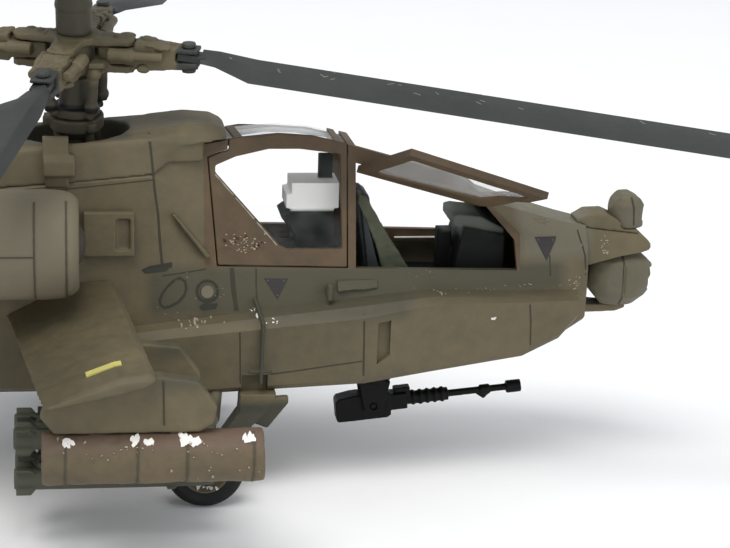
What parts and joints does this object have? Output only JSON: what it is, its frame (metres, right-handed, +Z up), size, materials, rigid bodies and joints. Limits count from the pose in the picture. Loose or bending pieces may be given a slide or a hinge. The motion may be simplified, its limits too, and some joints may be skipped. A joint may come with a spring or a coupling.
{
  "type": "toy helicopter",
  "caption": "Scale-model attack helicopter with tandem cockpit, opening canopy doors, turning rotors, chin gun, sensor turret, stub wings with pods and missiles, and fixed wheels.",
  "frame": {"origin": "middle of the model's length on the centreline, on the floor plane under the wheels", "axes": "+X forward to the nose, +Y to port, +Z up"},
  "size_m": [0.2404, 0.193, 0.0675],
  "materials": {
    "olive_paint": "matt hand-painted olive brown",
    "canopy_paint": "matt hand-painted olive brown, a little redder",
    "sensor_paint": "matt olive brown",
    "pod_paint": "matt grey olive with worn edges",
    "rack_paint": "matt dark grey",
    "missile_paint": "matt dark olive",
    "rotor_metal": "matt dark grey",
    "blade_paint": "matt dark grey",
    "radome_paint": "matt grey",
    "clear_plastic": "clear styrene",
    "cockpit_black": "matt black grey",
    "console_grey": "matt grey",
    "seat_blue": "matt dark blue grey",
    "strap_green": "matt grey green",
    "engine_dark": "matt soot",
    "gun_black": "satin black",
    "tyre_black": "matt black",
    "rim_brown": "matt brown"
  },
  "bodies": {
    "airframe": {"fuselage_right_half": "olive_paint", "fuselage_left_half": "olive_paint", "cheek_bay_right": "olive_paint", "cheek_bay_left": "olive_paint", "nose_cowl": "olive_paint", "sensor_mounts": "olive_paint", "canopy_frame": "canopy_paint", "canopy_glass": "clear_plastic", "cockpit_tub": "cockpit_black", "pilot_seat": "seat_blue", "gunner_seat": "seat_blue", "seat_harnesses": "strap_green", "pilot_console": "console_grey", "gunner_console": "cockpit_black", "transmission_cowl": "olive_paint", "nacelles": "olive_paint", "intake_plugs": "engine_dark", "exhausts": "engine_dark", "side_fittings": "olive_paint", "boarding_steps": "rack_paint", "static_mast": "olive_paint", "tail_gearbox": "olive_paint", "tail_leg": "olive_paint", "main_legs": "olive_paint", "shock_struts": "olive_paint", "wing_right": "olive_paint", "wing_left": "olive_paint", "pylons": "olive_paint", "rocket_pods": "pod_paint", "missile_racks": "rack_paint", "missiles": "missile_paint"},
    "main_rotor": {"rotor_shaft": "olive_paint", "rotor_hub": "olive_paint", "blade_cuffs": "olive_paint", "rotor_blade_1": "blade_paint", "rotor_blade_2": "blade_paint", "rotor_blade_3": "blade_paint", "rotor_blade_4": "blade_paint", "blade_pins": "rotor_metal", "pitch_links": "olive_paint", "lag_dampers": "olive_paint", "mast_drum": "radome_paint", "radome": "radome_paint"},
    "tail_rotor": {"tail_rotor_hub": "rotor_metal", "tail_rotor_blades": "blade_paint"},
    "wheel_right": {"main_tyre_right": "tyre_black", "main_rim_right": "rim_brown"},
    "wheel_left": {"main_tyre_left": "tyre_black", "main_rim_left": "rim_brown"},
    "tail_swivel": {"tail_fork": "olive_paint"},
    "tail_wheel": {"tail_tyre": "tyre_black"},
    "tailplane": {"stabilator": "olive_paint"},
    "gun_mount": {"gun_turret": "gun_black"},
    "gun_arm": {"gun": "gun_black"},
    "day_sensor": {"sensor_turret": "sensor_paint"},
    "night_sight": {"night_sensor": "sensor_paint"},
    "rear_door": {"rear_door_frame": "canopy_paint", "rear_door_glass": "clear_plastic"},
    "front_door": {"front_door_frame": "canopy_paint", "front_door_glass": "clear_plastic"}
  },
  "joints": [
    {"name": "main_rotor_spin", "type": "hinge", "parent": "airframe", "child": "main_rotor", "pos_m": [0.02268, -0.00017, 0.044], "axis": [-0.0175, -0.1443, 0.9894], "continuous": true},
    {"name": "tail_rotor_spin", "type": "hinge", "parent": "airframe", "child": "tail_rotor", "pos_m": [-0.10232, 0.00333, 0.0403], "axis": [0, 1, 0], "continuous": true},
    {"name": "wheel_right_spin", "type": "hinge", "parent": "airframe", "child": "wheel_right", "pos_m": [0.03683, -0.01557, 0.00452], "axis": [0, 1, 0], "continuous": true},
    {"name": "wheel_left_spin", "type": "hinge", "parent": "airframe", "child": "wheel_left", "pos_m": [0.03683, 0.01523, 0.00452], "axis": [0, 1, 0], "continuous": true},
    {"name": "tail_wheel_swivel", "type": "hinge", "parent": "airframe", "child": "tail_swivel", "pos_m": [-0.10792, -0.00017, 0.006], "axis": [0, 0, 1], "continuous": true},
    {"name": "tail_wheel_spin", "type": "hinge", "parent": "tail_swivel", "child": "tail_wheel", "pos_m": [-0.11032, -0.00017, 0.0025], "axis": [0, 1, 0], "continuous": true},
    {"name": "tailplane_incidence", "type": "hinge", "parent": "airframe", "child": "tailplane", "pos_m": [-0.10752, -0.00017, 0.0194], "axis": [0, 1, 0], "range_deg": [-35, 10]},
    {"name": "gun_azimuth", "type": "hinge", "parent": "airframe", "child": "gun_mount", "pos_m": [0.05808, -0.00017, 0.012], "axis": [0, 0, 1], "range_deg": [-86, 86]},
    {"name": "gun_elevation", "type": "hinge", "parent": "gun_mount", "child": "gun_arm", "pos_m": [0.05808, -0.00017, 0.0066], "axis": [0, -1, 0], "range_deg": [-22, 5]},
    {"name": "day_sensor_azimuth", "type": "hinge", "parent": "airframe", "child": "day_sensor", "pos_m": [0.08758, -0.00017, 0.0226], "axis": [0, 0, 1], "range_deg": [-60, 60]},
    {"name": "night_sensor_azimuth", "type": "hinge", "parent": "airframe", "child": "night_sight", "pos_m": [0.08848, -0.00017, 0.029], "axis": [0, 0, 1], "range_deg": [-90, 90]},
    {"name": "rear_door_hinge", "type": "hinge", "parent": "airframe", "child": "rear_door", "pos_m": [0.04568, -0.00345, 0.0409], "axis": [-1, 0, 0], "range_deg": [0, 95]},
    {"name": "front_door_hinge", "type": "hinge", "parent": "airframe", "child": "front_door", "pos_m": [0.07028, -0.0043, 0.0328], "axis": [-0.9619, -0.0032, 0.2735], "range_deg": [-105, 5]}
  ]
}
